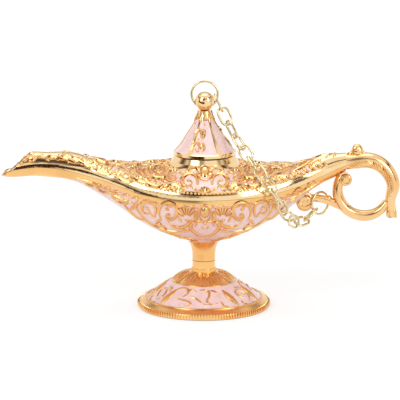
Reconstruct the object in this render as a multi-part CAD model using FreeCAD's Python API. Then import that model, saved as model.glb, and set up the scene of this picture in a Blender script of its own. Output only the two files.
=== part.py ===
import FreeCAD, Part
import math
import os
from FreeCAD import Placement, Rotation, Vector

# A genie oil lamp in cast, gold-plated alloy, in millimetres.
# X runs from the spout (negative) to the handle (positive), Y points away from the front, Z is up.
# The origin is on the axis of the foot, on the surface that the lamp stands on.

# Driving sizes of the body
spout_reach = 69.0
tail_reach = 48.5
foot_top = 16.0
stem_length = 7.2
bowl_depth = 18.7
rim_height = foot_top + stem_length + bowl_depth
spout_climb = 7.8
tail_climb = 8.6
half_beam = 21.3
shoulder_rise = 8.2
wall = 0.9
rim_band_height = 2.9
rim_band_stand = 0.6

# Stations from the lip of the spout to the middle, then on to the end of the tail.
# Each row: distance along its side, climb of the rim, rise of the top, drop of the bottom,
# beam, height of the rim band
spout_station_shares = [
    (1.000, 0.530, 0.100, 0.040, 0.040, 0.20),
    (0.960, 0.756, 0.260, 0.152, 0.122, 0.30),
    (0.900, 0.900, 0.500, 0.203, 0.146, 0.35),
    (0.812, 0.987, 0.510, 0.230, 0.168, 0.40),
    (0.725, 0.960, 0.540, 0.246, 0.196, 0.50),
    (0.623, 0.846, 0.580, 0.289, 0.245, 0.80),
    (0.515, 0.670, 0.460, 0.435, 0.340, 1.00),
    (0.392, 0.400, 0.560, 0.615, 0.555, 0.95),
    (0.267, 0.130, 0.810, 0.797, 0.780, 0.75),
    (0.130, 0.030, 0.960, 0.947, 0.950, 0.55),
]
middle_station_shares = (0.0, 0.0, 1.0, 1.0, 1.0, 0.5)
tail_station_shares = [
    (0.186, 0.010, 0.965, 0.947, 0.953, 0.50),
    (0.371, 0.070, 0.830, 0.786, 0.800, 0.70),
    (0.536, 0.210, 0.670, 0.615, 0.610, 0.90),
    (0.680, 0.370, 0.585, 0.406, 0.413, 0.85),
    (0.825, 0.616, 0.610, 0.246, 0.235, 0.70),
    (0.928, 0.837, 0.500, 0.210, 0.164, 0.60),
    (1.000, 0.977, 0.380, 0.166, 0.130, 0.50),
]
# How many stations at the lip and at the tail stay solid
solid_lip_stations = 1
solid_tail_stations = 2
section_points = 16

# Where the hood of the spout is cut back, along the spout and above the rim
hood_foot_share = 0.941
hood_top_share = 0.855

# Foot
foot_radius = 22.5
foot_edge_height = 1.9
foot_wall = 1.4
foot_rest_width = 2.0
stem_radius = 3.95
stem_collar_radius = 4.3
stem_collar_height = 1.1
# The dome as shares of the foot's radius and of the height where its collar starts
dome_height_share = 0.7625
dome_height = dome_height_share * foot_top
dome_shares = [(0.275, 0.960), (0.390, 0.880), (0.485, 0.745), (0.618, 0.585), (0.700, 0.485), (0.800, 0.360)]
dome_edge_share = 0.900
dome_edge_height = 2.9

# Flare from the stem into the bowl, as shares of its radius and height
flare_radius = 7.4
flare_sink = 0.3
stem_straight_share = 0.36
flare_start_height = foot_top + stem_straight_share * stem_length
flare_shares = [(0.05, 0.20), (0.16, 0.42), (0.36, 0.64), (0.66, 0.84)]

# Foot screw and washer
screw_radius = 1.45
screw_head_radius = 2.8
screw_head_height = 1.9
screw_socket_radius = 1.2
screw_socket_depth = 1.1
screw_end_gap = 0.6
washer_radius = 3.3
washer_thickness = 0.5
screw_seat_share = 0.6375
screw_seat_height = screw_seat_share * foot_top
thread_clearance = 0.05
shank_clearance = 0.25

# Neck and its polished collar
neck_offset = 0.3
neck_radius = 11.4
neck_stand = 0.9
neck_height = rim_height + shoulder_rise + neck_stand
skirt_radius = 15.0
skirt_drop = 3.6
skirt_sag_share = 0.42
collar_top_radius = 10.1
collar_height = 2.1
collar_bore = 9.1
collar_skirt_wall = 0.7
collar_skirt_depth = 1.6
fit_clearance = 0.05

# Lid
lid_flange_radius = 10.75
lid_flange_height = 1.0
lid_tip_radius = 2.15
lid_height = 15.0
lid_plug_clearance = 0.3
lid_plug_depth = 3.0
lid_wall = 1.2
lid_hollow_share = 0.66
# Radius between tip and flange, and height, both as shares from the flange up
lid_profile_shares = [(0.72, 0.16), (0.558, 0.31), (0.407, 0.46), (0.24, 0.62), (0.10, 0.78), (0.03, 0.92)]
lid_rib_count = 6
lid_rib_stand = 0.35
lid_rib_angle = 7.0

# Finial ball and the ring through it
ball_radius = 3.35
ball_sink = 0.25
ball_hole_radius = 1.45
ball_hole_drop = 1.2
ball_stud_radius = 1.2
ball_stud_length = 3.2
finial_ring_radius = 4.5
ring_wire = 0.85
ring_seat_gap = 0.12

# Handle
grip_bore = 7.4
grip_offset = 6.5
grip_band = 5.4
grip_depth = 2.7
root_lift = 0.5
# Outer band: angle round the grip, thickness and depth
outer_band_shares = [
    (96, 1.00, 1.00),
    (72, 1.00, 1.00),
    (48, 0.96, 0.98),
    (24, 0.89, 0.94),
    (0, 0.81, 0.88),
    (-16, 0.72, 0.80),
]
tail_tip_drop = 9.9
tail_tip_offset = 9.2
tail_tip_thickness = 2.6
tail_tip_depth = 2.4
# Inner scroll: angle round the grip, thickness and depth
scroll_band = 3.8
scroll_depth = 2.3
scroll_band_shares = [
    (330, 0.55, 0.80),
    (308, 0.85, 0.95),
    (282, 0.97, 1.00),
    (252, 0.98, 1.00),
    (222, 1.00, 1.00),
    (192, 1.00, 1.00),
    (168, 0.95, 0.97),
    (148, 0.85, 0.90),
]
eye_radius = 2.15
eye_reach = 7.45
eye_angle = 152
eye_boss_radius = 0.9
eye_boss_height = 0.35
# Strut under the tail, with its own scroll
strut_scroll_share = 0.711
strut_scroll_radius = 2.9
strut_scroll_depth = 1.9
strut_scroll_sink = 0.35
strut_band = 2.7
strut_depth = 1.5
# Place along and across the line from the strut's scroll to the middle of the grip
strut_route_shares = [(0.10, 0.055), (0.26, 0.005), (0.40, -0.070), (0.54, -0.175), (0.70, -0.270)]
bud_length = 2.7
bud_rise = 1.0
bud_depth = 1.2
bud_share = 0.385
bud_lift_share = -0.012
# Thumb knob on top of the band
knob_share = 0.46
knob_radius = 1.55
knob_height = 2.9
knob_shoulder_share = 0.9
tenon_radius = 1.5
tenon_length = 5.0

# Ring round the strut
strut_ring_radius = 3.85
strut_ring_share = 0.26
strut_ring_turn = 42.0
strut_ring_gap = 0.55

# Chain
link_length = 7.16
link_width = 4.6
link_wire = 0.85
link_play = 0.42
link_count = 14
hook_play = 0.14
finial_hook_angle = -10.0
strut_hook_angle = 222.0
# The chain's route from the ball's ring down over the shoulder and up to the strut's ring.
# Each row: share of the way along X, of half the beam towards the front, of the drop along Z
route_shares = [
    (0.000, 0.010, 0.000),
    (0.070, 0.070, 0.125),
    (0.185, 0.180, 0.320),
    (0.322, 0.420, 0.487),
    (0.445, 0.705, 0.608),
    (0.565, 0.875, 0.735),
    (0.655, 0.815, 0.880),
    (0.715, 0.640, 0.990),
    (0.810, 0.400, 1.075),
    (0.915, 0.180, 1.060),
    (1.000, 0.085, 1.000),
]
hanging_rows = (6, 7, 8, 9)
route_samples = 600
# The search for the sag: its least and most slack, and its number of halvings
slack_limits = (0.80, 1.40)
slack_steps = 40
# Roll of each link about its own length, from flat to the front, in degrees
link_rolls = (86, -14, 56, -62, 2, -86, 22, -40, 74, -42, 26, -26, -56, -90)

# How far cutters run past what they cut
overrun = 2.0


def write(name, shape):
    """Write one node's solid to its STEP file."""
    shape.exportStep(os.path.join("parts", name + ".step"))


def body_stations():
    """Every station from the lip to the tail: x, rim height, rise, drop, half beam, band height."""
    rows = []
    for along, climb, rise, drop, beam, band in spout_station_shares:
        rows.append((-along * spout_reach, rim_height + climb * spout_climb, rise, drop, beam, band))
    along, climb, rise, drop, beam, band = middle_station_shares
    rows.append((along, rim_height, rise, drop, beam, band))
    for along, climb, rise, drop, beam, band in tail_station_shares:
        rows.append((along * tail_reach, rim_height + climb * tail_climb, rise, drop, beam, band))
    return [
        (x, rim, rise * shoulder_rise, drop * bowl_depth, beam * half_beam, band * rim_band_height)
        for x, rim, rise, drop, beam, band in rows
    ]


def station_at(x):
    """The body's sizes at x, straight between its stations."""
    rows = body_stations()
    for low, high in zip(rows, rows[1:]):
        if low[0] <= x <= high[0]:
            part_way = (x - low[0]) / (high[0] - low[0])
            return [a + part_way * (b - a) for a, b in zip(low, high)]
    return list(rows[0] if x < rows[0][0] else rows[-1])


def section_wire(station, grow):
    """A closed section across the body, with its join at the bottom; grow moves it outwards."""
    x, rim, rise, drop, beam, _ = station
    points = []
    for step in range(section_points):
        turn = 2 * math.pi * step / section_points - math.pi / 2
        height = (rise if math.sin(turn) > 0 else drop) + grow
        points.append(Vector(x, (beam + grow) * math.cos(turn), rim + height * math.sin(turn)))
    curve = Part.BSplineCurve()
    curve.interpolate(Points=points, PeriodicFlag=True)
    return Part.Wire([curve.toShape()])


def body_loft(stations, grow):
    """The closed body through its stations."""
    return Part.makeLoft([section_wire(s, grow) for s in stations], True)


def spline_edge(points):
    curve = Part.BSplineCurve()
    curve.interpolate(Points=points)
    return curve.toShape()


def rim_slab(stations):
    """A slab across the body that follows the rim, from under the seam to the band's upper edge."""
    low = [Vector(x, 0, rim - band) for x, rim, _, _, _, band in stations]
    high = [Vector(x, 0, rim + band / 2) for x, rim, _, _, _, band in stations]
    return slab_between(low, high)


def slab_between(low, high):
    """A slab through the whole beam between two lines drawn in the middle plane."""
    edges = [
        spline_edge(low),
        Part.makeLine(low[-1], high[-1]),
        spline_edge(high),
        Part.makeLine(high[0], low[0]),
    ]
    face = Part.Face(Part.Wire(Part.__sortEdges__(edges)))
    side = half_beam + overrun
    face.translate(Vector(0, -side, 0))
    return face.extrude(Vector(0, 2 * side, 0))


def above_seam(stations):
    """Everything above the lower edge of the rim band, where the two halves meet."""
    ends = [stretched_end(stations[0], stations[1]), *stations, stretched_end(stations[-1], stations[-2])]
    low = [Vector(x, 0, rim - band / 2) for x, rim, _, _, _, band in ends]
    top = rim_height + spout_climb + tail_climb + shoulder_rise
    high = [Vector(low[0].x, 0, top), Vector(low[-1].x, 0, top)]
    edges = [
        spline_edge(low),
        Part.makeLine(low[-1], high[1]),
        Part.makeLine(high[1], high[0]),
        Part.makeLine(high[0], low[0]),
    ]
    face = Part.Face(Part.Wire(edges))
    side = half_beam + overrun
    face.translate(Vector(0, -side, 0))
    return face.extrude(Vector(0, 2 * side, 0))


def stretched_end(end, inner):
    """A station carried on past the end of the body, along the line of its last two."""
    reach = 1 + overrun / abs(end[0] - inner[0])
    return tuple(b + reach * (a - b) for a, b in zip(end, inner))


def turned(outline, centre_x):
    """A solid turned round the upright axis at centre_x from (radius, height) edges or points."""
    if isinstance(outline[0], tuple):
        corners = [Vector(r, 0, z) for r, z in outline]
        wire = Part.makePolygon([*corners, corners[0]])
    else:
        wire = Part.Wire(outline)
    solid = Part.Face(wire).revolve(Vector(0, 0, 0), Vector(0, 0, 1), 360)
    solid.translate(Vector(centre_x, 0, 0))
    return solid


def profile(points):
    """Points (radius, height) as one smooth edge."""
    return spline_edge([Vector(r, 0, z) for r, z in points])


def straight(*points):
    """Points (radius, height) joined by straight edges."""
    corners = [Vector(r, 0, z) for r, z in points]
    return [Part.makeLine(a, b) for a, b in zip(corners, corners[1:])]


def cylinder(radius, low, high, centre_x):
    return Part.makeCylinder(radius, high - low, Vector(centre_x, 0, low))


def make_bodies():
    """The outer form of the body and its cavity."""
    stations = body_stations()
    outer = body_loft(stations, 0)
    hollow = stations[solid_lip_stations : len(stations) - solid_tail_stations]
    cavity = body_loft(hollow, -wall)
    return stations, outer, cavity


def hood_cutter():
    """What is cut from the front of the spout's hood so that its mouth slants open."""
    foot_x = -hood_foot_share * spout_reach
    top_x = -hood_top_share * spout_reach
    foot_z = station_at(foot_x)[1]
    top_z = station_at(top_x)[1] + station_at(top_x)[2]
    slope = (top_x - foot_x) / (top_z - foot_z)
    low_z = foot_z - shoulder_rise
    high_z = top_z + shoulder_rise
    front = -(spout_reach + shoulder_rise)
    corners = [
        Vector(foot_x - slope * shoulder_rise, 0, low_z),
        Vector(top_x + slope * shoulder_rise, 0, high_z),
        Vector(front, 0, high_z),
        Vector(front, 0, low_z),
    ]
    face = Part.Face(Part.makePolygon([*corners, corners[0]]))
    face.translate(Vector(0, -half_beam, 0))
    return face.extrude(Vector(0, 2 * half_beam, 0))


def make_upper_body(stations, outer, cavity):
    band = body_loft(stations, rim_band_stand).common(rim_slab(stations))
    skirt_low = neck_height - skirt_drop
    sag = skirt_sag_share * skirt_drop
    middle = ((neck_radius + skirt_radius) / 2, neck_height - sag - (skirt_drop - sag) / 2)
    skirt = turned(
        [
            profile([(neck_radius, neck_height), middle, (skirt_radius, skirt_low)]),
            *straight(
                (skirt_radius, skirt_low),
                (skirt_radius, skirt_low - skirt_drop),
                (0, skirt_low - skirt_drop),
                (0, neck_height),
                (neck_radius, neck_height),
            ),
        ],
        neck_offset,
    )
    bore = collar_bore + collar_skirt_wall + fit_clearance
    shape = outer.fuse([band, skirt]).common(above_seam(stations)).cut(cavity)
    shape = shape.cut(cylinder(bore, skirt_low - skirt_drop - overrun, neck_height + overrun, neck_offset))
    return shape.cut([hood_cutter(), tenon_cylinder(fit_clearance)]).Solids[0]


def stem_flare():
    """The stem under the bowl, from the foot's seam to where it meets the bowl."""
    rise = bowl_height(flare_radius) + flare_sink - flare_start_height
    spread = flare_radius - stem_radius
    points = [(stem_radius, flare_start_height)]
    points += [(stem_radius + r * spread, flare_start_height + z * rise) for r, z in flare_shares]
    points.append((flare_radius, flare_start_height + rise))
    top = flare_start_height + rise + flare_radius / 2
    return turned(
        [
            *straight((0, top), (0, foot_top), (stem_radius, foot_top), (stem_radius, flare_start_height)),
            profile(points),
            *straight((flare_radius, flare_start_height + rise), (flare_radius, top), (0, top)),
        ],
        0,
    )


def bowl_bottom():
    return rim_height - bowl_depth


def bowl_height(radius):
    """The height of the bowl's outside at a radius, across its middle."""
    return rim_height - bowl_depth * math.sqrt(1 - (radius / half_beam) ** 2)


def make_lower_body(stations, outer, cavity):
    above = above_seam(stations)
    shape = outer.fuse(stem_flare()).cut(above).cut(cavity)
    thread = screw_radius + thread_clearance
    shape = shape.cut(cylinder(thread, foot_top - overrun, screw_end(), 0))
    return shape.cut(tenon_cylinder(fit_clearance)).Solids[0]


def screw_end():
    """The top of the blind hole for the foot's screw."""
    return bowl_bottom() + wall - screw_end_gap


def tenon_cylinder(gap):
    """The round tenon that holds the handle in the end of the tail, larger by gap on its side and end."""
    length = tenon_length + gap
    start = Vector(tail_reach - length, 0, tail_axis())
    return Part.makeCylinder(tenon_radius + gap, length + overrun, start, Vector(1, 0, 0))


def tail_axis():
    """The height of the middle of the tail's end face."""
    _, rim, rise, drop, _, _ = body_stations()[-1]
    return rim + (rise - drop) / 2


def make_foot():
    collar_low = dome_height
    collar_high = dome_height + stem_collar_height
    outer = [(r * foot_radius, z * dome_height) for r, z in dome_shares]
    edge = (dome_edge_share * foot_radius, dome_edge_height)
    outer.append(edge)
    top = turned(
        [
            *straight(
                (0, 0),
                (0, foot_top),
                (stem_radius, foot_top),
                (stem_radius, collar_high),
                (stem_collar_radius, collar_high),
                (stem_collar_radius, collar_low),
                outer[0],
            ),
            profile(outer),
            *straight(edge, (foot_radius, foot_edge_height), (foot_radius, 0), (0, 0)),
        ],
        0,
    )
    inner = [(r, z - foot_wall) for r, z in outer if r > washer_radius + foot_wall and z > foot_wall]
    rest = (foot_radius - foot_rest_width, -overrun)
    hollow = turned(
        [
            *straight(rest, (0, -overrun), (0, screw_seat_height)),
            *straight((0, screw_seat_height), (inner[0][0], screw_seat_height), inner[0]),
            profile(inner),
            *straight(inner[-1], (rest[0], 0), rest),
        ],
        0,
    )
    shank = cylinder(screw_radius + shank_clearance, 0, foot_top + overrun, 0)
    return top.cut(hollow).cut(shank)


def make_screw():
    low = screw_seat_height - washer_thickness - screw_head_height
    head = cylinder(screw_head_radius, low, low + screw_head_height, 0)
    shank = cylinder(screw_radius, low + screw_head_height, screw_end() - screw_end_gap, 0)
    socket = cylinder(screw_socket_radius, low - overrun, low + screw_socket_depth, 0)
    return head.fuse(shank).cut(socket).removeSplitter()


def make_washer():
    low = screw_seat_height - washer_thickness
    ring = cylinder(washer_radius, low, screw_seat_height, 0)
    return ring.cut(cylinder(screw_radius + shank_clearance, low - overrun, foot_top, 0))


def lid_seat():
    """The height of the face that the lid rests on."""
    return neck_height + collar_height


def make_collar():
    skirt_radius_out = collar_bore + collar_skirt_wall
    return turned(
        [
            (collar_bore, neck_height - collar_skirt_depth),
            (skirt_radius_out, neck_height - collar_skirt_depth),
            (skirt_radius_out, neck_height),
            (neck_radius, neck_height),
            (collar_top_radius, lid_seat()),
            (collar_bore, lid_seat()),
        ],
        neck_offset,
    )


def lid_points(grow):
    """The flared side of the lid from the flange up, moved outwards by grow."""
    low = lid_seat() + lid_flange_height
    rise = lid_height - lid_flange_height
    spread = lid_flange_radius - lid_tip_radius
    points = [(lid_flange_radius, low)]
    points += [(lid_tip_radius + r * spread + grow, low + z * rise) for r, z in lid_profile_shares]
    points.append((lid_tip_radius + grow, low + rise))
    return points


def make_lid():
    side = lid_points(0)
    top = side[-1][1]
    seat = lid_seat()
    outer = turned(
        [
            *straight((0, top), (0, seat), (lid_flange_radius, seat), side[0]),
            profile(side),
            *straight(side[-1], (0, top)),
        ],
        neck_offset,
    )
    plug = cylinder(collar_bore - lid_plug_clearance, seat - lid_plug_depth, seat, neck_offset)
    shape = outer.fuse([plug, *lid_ribs()])
    hollow_radius = collar_bore - lid_plug_clearance - lid_wall
    hollow_top = seat + lid_hollow_share * lid_height
    inner = [(r - lid_wall, z) for r, z in side if r - lid_wall < hollow_radius and z < hollow_top]
    tip = (inner[-1][0], hollow_top)
    start = (hollow_radius, seat)
    below = seat - lid_plug_depth - overrun
    hollow = turned(
        [
            *straight((0, hollow_top), (0, below), (hollow_radius, below), start),
            profile([start, *inner]),
            *straight(inner[-1], tip, (0, hollow_top)),
        ],
        neck_offset,
    )
    stud_low = ball_centre() - ball_radius + ball_sink - ball_stud_length
    stud = cylinder(ball_stud_radius + fit_clearance, stud_low - fit_clearance, top + overrun, neck_offset)
    seat_ball = Part.makeSphere(ball_radius, Vector(neck_offset, 0, ball_centre()))
    return shape.cut(hollow).cut(stud).cut(seat_ball).removeSplitter()


def lid_ribs():
    """Raised ribs that run from the flange up to the tip."""
    side = lid_points(lid_rib_stand)
    low = side[0]
    ribs = []
    for count in range(lid_rib_count):
        edges = [
            profile(side),
            *straight(side[-1], (0, side[-1][1]), (0, low[1]), low),
        ]
        face = Part.Face(Part.Wire(edges))
        rib = face.revolve(Vector(0, 0, 0), Vector(0, 0, 1), lid_rib_angle)
        turn = 360 * count / lid_rib_count - lid_rib_angle / 2
        rib.rotate(Vector(0, 0, 0), Vector(0, 0, 1), turn)
        rib.translate(Vector(neck_offset, 0, 0))
        ribs.append(rib)
    return ribs


def ball_centre():
    return lid_seat() + lid_height + ball_radius - ball_sink


def make_ball():
    centre = Vector(neck_offset, 0, ball_centre())
    ball = Part.makeSphere(ball_radius, centre)
    low = ball_centre() - ball_radius + ball_sink - ball_stud_length
    stud = cylinder(ball_stud_radius, low, ball_centre() - ball_hole_drop, neck_offset)
    hole_start = Vector(neck_offset - ball_radius - overrun, 0, ball_centre() - ball_hole_drop)
    hole = Part.makeCylinder(ball_hole_radius, 2 * (ball_radius + overrun), hole_start, Vector(1, 0, 0))
    return ball.fuse(stud).cut(hole)


def finial_ring_centre():
    """The ring stands upright in the middle plane, its lowest point on the floor of the ball's cross hole."""
    hole_floor = ball_centre() - ball_hole_drop - ball_hole_radius
    return Vector(neck_offset, 0, hole_floor + ring_seat_gap + ring_wire / 2 + finial_ring_radius)


def make_finial_ring():
    return Part.makeTorus(finial_ring_radius, ring_wire / 2, finial_ring_centre(), Vector(0, 1, 0))


def grip_centre():
    x = tail_reach + grip_offset
    return Vector(x, 0, tail_axis() + root_lift - grip_bore - grip_band / 2)


def round_grip(angle, thickness):
    """The middle of a band that lies against the grip's bore at an angle."""
    radius = grip_bore + thickness / 2
    turn = math.radians(angle)
    return grip_centre() + Vector(radius * math.cos(turn), 0, radius * math.sin(turn))


def oval_wire(centre, along, thickness, depth):
    """An oval section across a band that lies in the middle plane."""
    across = Vector(-along.z, 0, along.x).normalize()
    half_thick = thickness / 2
    half_deep = depth / 2
    major, minor = (half_thick, half_deep)
    major_axis = across
    if half_deep > half_thick:
        major, minor = (half_deep, half_thick)
        major_axis = Vector(0, 1, 0)
    normal = Vector(along).normalize()
    ellipse = Part.Ellipse(Vector(0, 0, 0), major, minor)
    edge = ellipse.toShape()
    edge.Placement = Placement(centre, Rotation(major_axis, normal.cross(major_axis), normal, "ZXY"))
    return Part.Wire([edge])


def band_loft(rows):
    """A band through rows of (centre, thickness, depth), each section square to the line."""
    wires = []
    for index, (centre, thickness, depth) in enumerate(rows):
        before = rows[max(index - 1, 0)][0]
        after = rows[min(index + 1, len(rows) - 1)][0]
        wires.append(oval_wire(centre, after - before, thickness, depth))
    return Part.makeLoft(wires, True)


def outer_band():
    root = Vector(tail_reach, 0, tail_axis())
    rows = [(root, grip_band, 2 * grip_depth)]
    for angle, thick, deep in outer_band_shares:
        rows.append((round_grip(angle, thick * grip_band), thick * grip_band, deep * 2 * grip_depth))
    centre = grip_centre()
    tip = centre + Vector(tail_tip_offset, 0, -tail_tip_drop)
    before = (rows[-1][0] + tip) * (1 / 2)
    rows.append((before, (rows[-1][1] + tail_tip_thickness) / 2, (rows[-1][2] + tail_tip_depth) / 2))
    rows.append((tip, tail_tip_thickness, tail_tip_depth))
    return band_loft(rows)


def scroll():
    """The C-shaped scroll round the grip, with its eye."""
    rows = []
    for angle, thick, deep in scroll_band_shares:
        rows.append((round_grip(angle, thick * scroll_band), thick * scroll_band, deep * 2 * scroll_depth))
    turn = math.radians(eye_angle)
    eye = grip_centre() + Vector(eye_reach * math.cos(turn), 0, eye_reach * math.sin(turn))
    return band_loft(rows).fuse(disc(eye, eye_radius, scroll_depth))


def disc(centre, radius, half_depth):
    """A flat round scroll end with a small boss on each face."""
    start = centre - Vector(0, half_depth, 0)
    body = Part.makeCylinder(radius, 2 * half_depth, start, Vector(0, 1, 0))
    rounding = min(radius, half_depth) / 2
    body = body.makeFillet(rounding, body.Edges)
    boss_half = half_depth + eye_boss_height
    boss_start = centre - Vector(0, boss_half, 0)
    boss = Part.makeCylinder(eye_boss_radius, 2 * boss_half, boss_start, Vector(0, 1, 0))
    return body.fuse(boss)


def strut_scroll_centre():
    """The strut's scroll lies against the underside of the body."""
    x = strut_scroll_share * tail_reach
    _, rim, _, drop, _, _ = station_at(x)
    return Vector(x, 0, rim - drop - strut_scroll_radius + strut_scroll_sink)


def strut_point(along, across):
    """A place by shares along and across the line from the strut's scroll to the grip's middle."""
    start = strut_scroll_centre()
    line = grip_centre() - start
    return start + line * along + Vector(-line.z, 0, line.x) * across


def strut():
    rows = [(strut_point(a, c), strut_band, 2 * strut_depth) for a, c in strut_route_shares]
    shape = band_loft(rows).fuse(disc(strut_scroll_centre(), strut_scroll_radius, strut_scroll_depth))
    bud_centre = strut_point(bud_share, bud_lift_share)
    stretch = FreeCAD.Matrix()
    stretch.scale(bud_length / 2, bud_depth, bud_rise)
    bud = Part.makeSphere(1).transformGeometry(stretch)
    bud.translate(bud_centre)
    return shape.fuse(bud)


def knob():
    """The thumb knob on top of the band, leaning back a little."""
    base = round_grip(90, grip_band) + Vector(-grip_offset * knob_share, 0, grip_band / 2)
    points = [
        (0, -grip_band / 4),
        (knob_radius / 2, -grip_band / 4),
        (knob_radius / 2, 0),
        (knob_radius, knob_height / 2),
        (knob_radius / 2, knob_height * knob_shoulder_share),
        (0, knob_height),
    ]
    solid = turned([*straight(*points[:3]), profile(points[2:]), *straight(points[-1], points[0])], 0)
    solid.translate(base)
    return solid


def make_handle(outer):
    shape = outer_band().fuse([scroll(), strut(), knob()])
    shape = shape.cut(outer)
    return shape.fuse(tenon_cylinder(0)).removeSplitter()


def strut_ring_axis():
    """The direction that the strut's ring faces."""
    turn = math.radians(strut_ring_turn)
    return Vector(math.sin(turn), -math.cos(turn), 0)


def strut_ring_centre():
    place = strut_point(strut_ring_share, strut_route_shares[1][1])
    top = place.z + strut_band / 2
    inside = strut_ring_radius - ring_wire / 2
    return Vector(place.x, 0, top + strut_ring_gap - inside)


def make_strut_ring():
    return Part.makeTorus(strut_ring_radius, ring_wire / 2, strut_ring_centre(), strut_ring_axis())


def make_link():
    """One link lying in the XZ plane with its length along X: two round ends and two straight sides."""
    end_radius = (link_width - link_wire) / 2
    half_side = (link_length - link_width) / 2
    wire = link_wire / 2
    pieces = []
    for sign in (1, -1):
        centre = Vector(sign * half_side, 0, 0)
        end = Part.makeTorus(end_radius, wire, Vector(0, 0, 0), Vector(0, 0, 1), -180, 180, 180)
        end.rotate(Vector(0, 0, 0), Vector(0, 0, 1), -90 if sign > 0 else 90)
        end.rotate(Vector(0, 0, 0), Vector(1, 0, 0), 90)
        end.translate(centre)
        side_start = Vector(-half_side, 0, sign * end_radius)
        side = Part.makeCylinder(wire, 2 * half_side, side_start, Vector(1, 0, 0))
        pieces += [end, side]
    return pieces[0].fuse(pieces[1:]).removeSplitter()


def hook_points():
    """Where the chain's end joints lie, half a wire inside the two rings."""
    turn = math.radians(finial_hook_angle)
    past = (link_wire + link_play) / 2 + hook_play
    start = finial_ring_centre() + Vector(math.cos(turn), 0, math.sin(turn)) * (finial_ring_radius - past)
    axis = strut_ring_axis()
    level = Vector(-axis.y, axis.x, 0)
    turn = math.radians(strut_hook_angle)
    outward = level * math.cos(turn) + Vector(0, 0, 1) * math.sin(turn)
    return start, strut_ring_centre() + outward * (strut_ring_radius - past)


def route_curve(slack):
    """The chain's route; slack above 1 lets the hanging part sag deeper."""
    start, end = hook_points()
    span = end - start
    points = []
    for index, (along, front, drop) in enumerate(route_shares):
        low = drop + (slack - 1 if index in hanging_rows else 0)
        points.append(Vector(start.x + along * span.x, -front * half_beam, start.z + low * span.z))
    points[0] = start
    points[-1] = end
    curve = Part.BSplineCurve()
    curve.interpolate(Points=points)
    return curve.discretize(Number=route_samples)


def link_pitch():
    return link_length - 2 * link_wire - link_play


def walk(samples):
    """Points one pitch apart along the samples, from the first sample on."""
    points = [samples[0]]
    for low, high in zip(samples, samples[1:]):
        inner = (low - points[-1]).Length
        outer = (high - points[-1]).Length
        if outer >= link_pitch():
            part_way = (link_pitch() - inner) / (outer - inner)
            points.append(low + (high - low) * part_way)
    return points


def chain_joints():
    """The points where the links meet, from ring to ring, with the sag that makes them fit."""
    low, high = slack_limits
    for _ in range(slack_steps):
        slack = (low + high) / 2
        points = walk(route_curve(slack))
        if len(points) > link_count:
            high = slack
        else:
            low = slack
    return walk(route_curve(high))[: link_count + 1]


def link_placement(start, end, roll):
    """The pose of a link between two joints, rolled about its length."""
    along = (end - start).normalize()
    front = Vector(0, -1, 0)
    normal = (front - along * front.dot(along)).normalize()
    turn = Rotation(along, roll)
    normal = turn.multVec(normal)
    side = along.cross(normal) * -1
    return Placement((start + end) * (1 / 2), Rotation(along, normal * -1, side, "XZY"))


def make_chain():
    """Every link in its place, as named solids."""
    joints = chain_joints()
    model = make_link()
    links = {}
    for index in range(link_count):
        link = model.copy()
        link.Placement = link_placement(joints[index], joints[index + 1], link_rolls[index])
        links[f"link_{index + 1:02d}"] = link
    return links


def main():
    os.makedirs("parts", exist_ok=True)
    stations, outer, cavity = make_bodies()
    nodes = {
        "foot": make_foot(),
        "foot_screw": make_screw(),
        "foot_washer": make_washer(),
        "lower_body": make_lower_body(stations, outer.copy(), cavity.copy()),
        "upper_body": make_upper_body(stations, outer.copy(), cavity.copy()),
        "neck_collar": make_collar(),
        "handle": make_handle(outer.copy()),
        "lid": make_lid(),
        "finial_ball": make_ball(),
        "finial_ring": make_finial_ring(),
        "strut_ring": make_strut_ring(),
        **make_chain(),
    }
    for name, shape in nodes.items():
        print(name, shape.ShapeType, len(shape.Solids), shape.isValid(), round(shape.Volume, 2))
        write(name, shape)


main()
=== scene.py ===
import math

import bpy
from mathutils import Matrix, Vector
from mathutils.bvhtree import BVHTree


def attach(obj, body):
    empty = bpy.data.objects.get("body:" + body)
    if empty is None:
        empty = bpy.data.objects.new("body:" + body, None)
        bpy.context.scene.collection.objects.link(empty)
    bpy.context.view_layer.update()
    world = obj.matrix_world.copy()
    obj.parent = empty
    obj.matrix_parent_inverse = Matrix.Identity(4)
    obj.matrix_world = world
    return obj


bl_info = {
    "name": "Genie Oil Lamp",
    "version": (1, 0, 0),
    "blender": (4, 5, 0),
    "location": "3D View > Sidebar > Oil Lamp",
    "description": "Relief, enamel, gilding and studio for a small cast oil lamp",
    "category": "Object",
}

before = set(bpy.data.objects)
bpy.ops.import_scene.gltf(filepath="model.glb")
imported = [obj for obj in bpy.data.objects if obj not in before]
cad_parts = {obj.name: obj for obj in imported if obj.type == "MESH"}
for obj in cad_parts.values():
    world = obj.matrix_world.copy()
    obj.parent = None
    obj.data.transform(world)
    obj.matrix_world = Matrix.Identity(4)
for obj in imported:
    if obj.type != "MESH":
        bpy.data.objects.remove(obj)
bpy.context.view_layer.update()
MM = 0.001

# Lengths below are in millimetres and angles in degrees, unless a comment says otherwise

# How the photograph shows the lamp, so that ornament can be placed by it: the camera's rise above level,
# millimetres for each pixel, the lamp's middle and its base in the image, and the image's side
VIEW_RISE = 12.0
IMAGE_SCALE = 0.342
IMAGE_MIDDLE = 203.8
IMAGE_FLOOR = 305.5
IMAGE_SIZE = 400

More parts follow.
